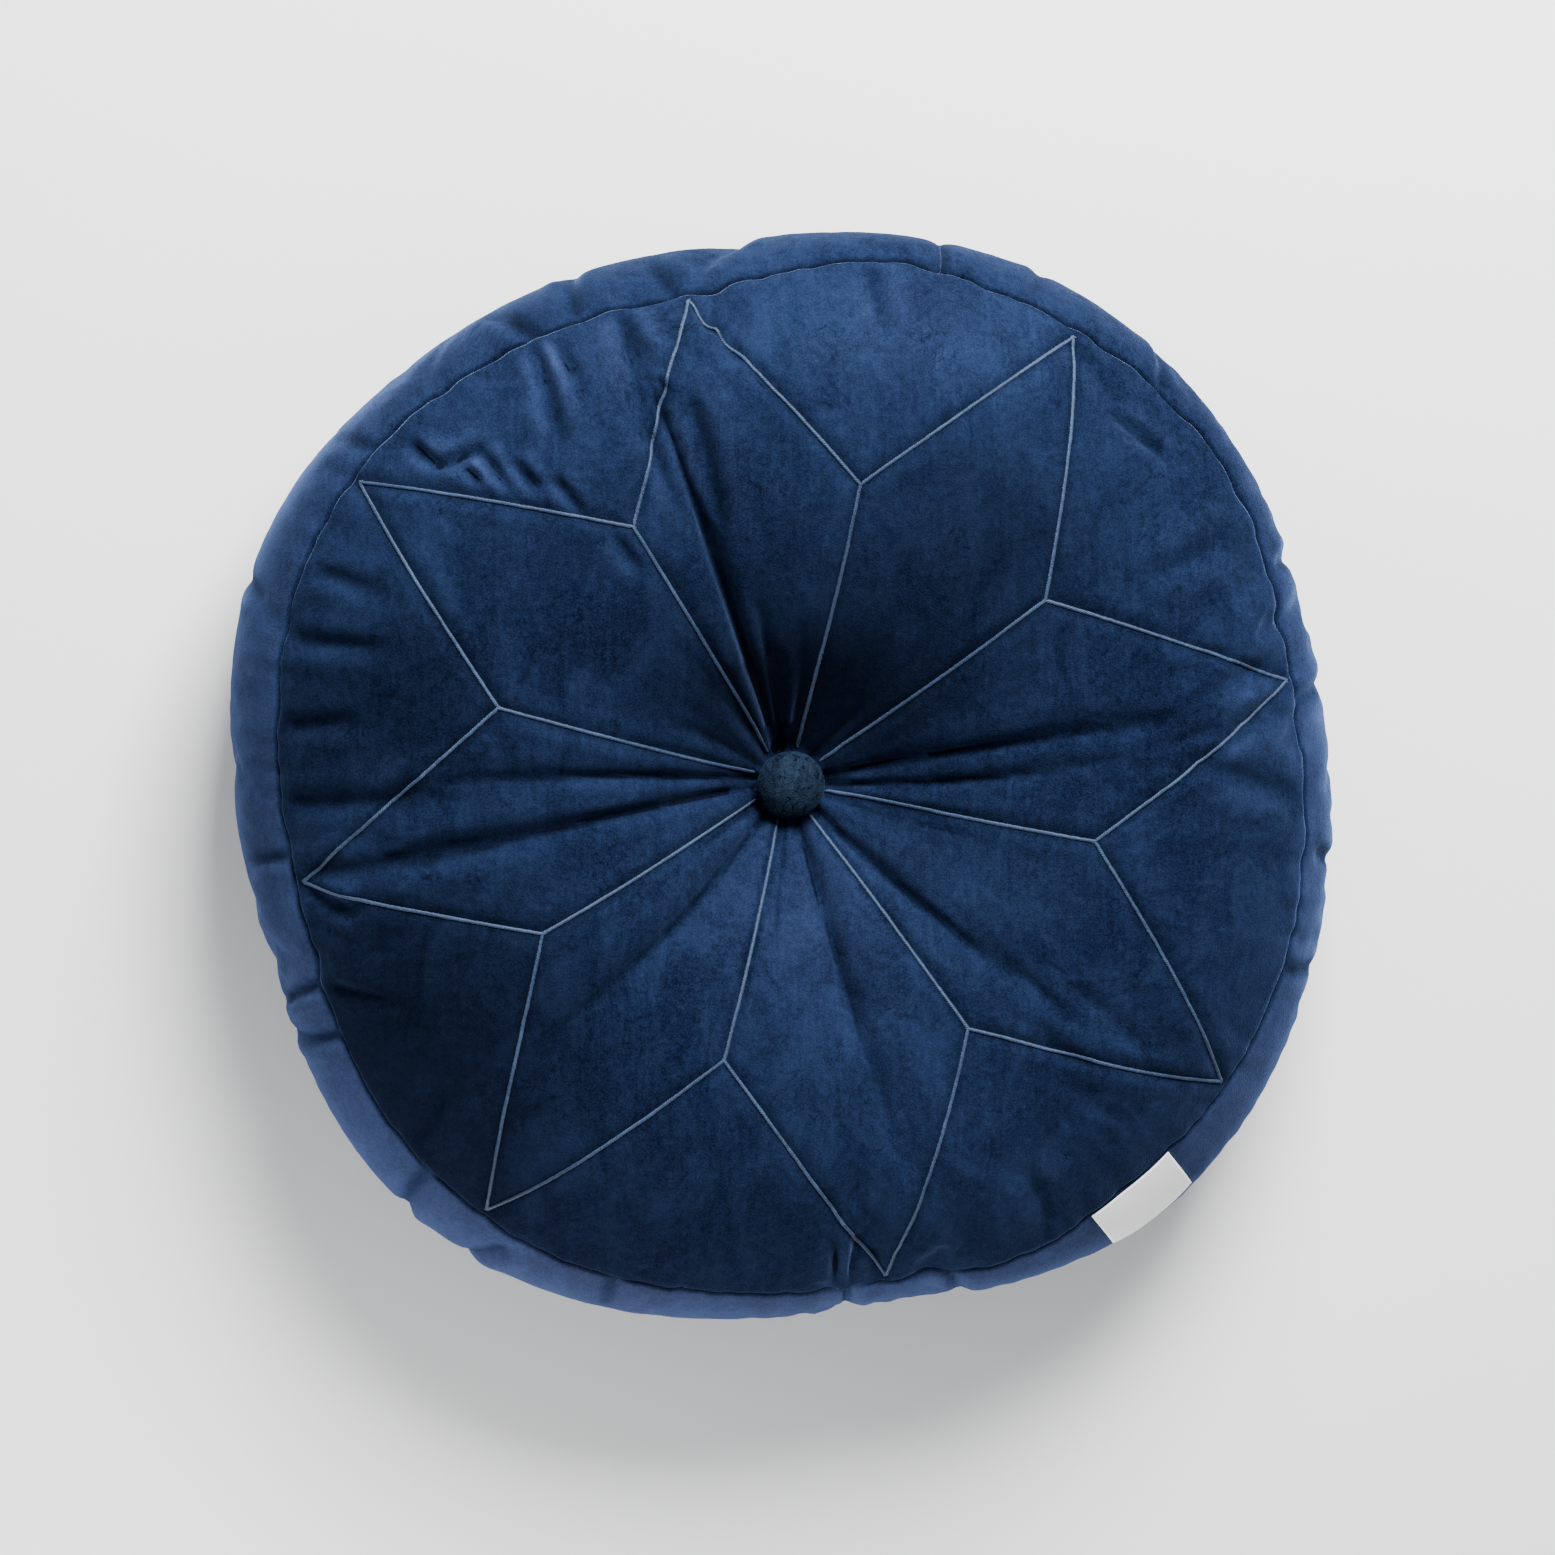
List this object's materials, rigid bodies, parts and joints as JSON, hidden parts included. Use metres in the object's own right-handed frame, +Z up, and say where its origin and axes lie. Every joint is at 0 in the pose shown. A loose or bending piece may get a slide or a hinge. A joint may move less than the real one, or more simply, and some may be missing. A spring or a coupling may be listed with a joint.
{
  "type": "floor cushion",
  "caption": "Round button-tufted velvet floor cushion with a boxed edge, an embroidered flower on top and a covered button on each face.",
  "frame": {"origin": "middle of the cushion's outline, on the surface that it rests on", "axes": "+Z up through the two buttons, +X towards the petal tip nearest the right, +Y away from the front join of the band"},
  "size_m": [0.5078, 0.5012, 0.1289],
  "materials": {
    "navy_velvet": "short crushed velvet pile, navy, with a soft blue sheen",
    "button_velvet": "the same velvet stretched tight over the button, darker",
    "embroidery_thread": "lustrous steel-blue embroidery thread in a twisted cord stitch",
    "seam_thread": "dark navy polyester sewing thread",
    "polyester_fibre": "loose white polyester fibre",
    "waxed_twine": "waxed natural twine",
    "woven_label": "blank white woven ribbon with a satin face",
    "plated_steel": "thin tin-plated steel"
  },
  "bodies": {
    "base": {"bottom_panel": "navy_velvet", "band_left": "navy_velvet", "band_right": "navy_velvet", "bottom_seam_thread": "seam_thread", "band_join_threads": "seam_thread", "closing_stitches": "seam_thread", "fibre_fill": "polyester_fibre", "tufting_twine": "waxed_twine"},
    "seat_top": {"top_panel": "navy_velvet", "top_seam_thread": "seam_thread", "petal_stitch_1": "embroidery_thread", "petal_stitch_2": "embroidery_thread", "petal_stitch_3": "embroidery_thread", "petal_stitch_4": "embroidery_thread", "petal_stitch_5": "embroidery_thread", "petal_stitch_6": "embroidery_thread", "petal_stitch_7": "embroidery_thread", "petal_stitch_8": "embroidery_thread"},
    "top_button": {"top_button_cover": "button_velvet", "top_button_shell": "plated_steel", "top_button_back": "plated_steel", "top_button_loop": "plated_steel"},
    "bottom_button": {"bottom_button_cover": "button_velvet", "bottom_button_shell": "plated_steel", "bottom_button_back": "plated_steel", "bottom_button_loop": "plated_steel"},
    "label": {"side_label": "woven_label"}
  },
  "joints": [
    {"name": "seat_compress", "type": "slide", "parent": "base", "child": "seat_top", "axis": [0, 0, 1], "range_m": [-0.03, 0], "stiffness_N_per_m": 6000, "springref_m": 0.002, "deforming": ["fibre_fill", "band_left", "band_right", "tufting_twine", "band_join_threads"]},
    {"name": "top_button_turn", "type": "hinge", "parent": "seat_top", "child": "top_button", "pos_m": [0, 0, 0.0845], "axis": [0, 0, 1], "range_deg": [-60, 60], "stiffness_Nm_per_rad": 0.002},
    {"name": "bottom_button_turn", "type": "hinge", "parent": "base", "child": "bottom_button", "pos_m": [0, 0, 0.0235], "axis": [0, 0, -1], "range_deg": [-60, 60], "stiffness_Nm_per_rad": 0.002},
    {"name": "label_flap", "type": "hinge", "parent": "seat_top", "child": "label", "pos_m": [0.15533, -0.18512, 0.098], "axis": [-0.8304, -0.5572, 0], "range_deg": [0, 135]}
  ]
}
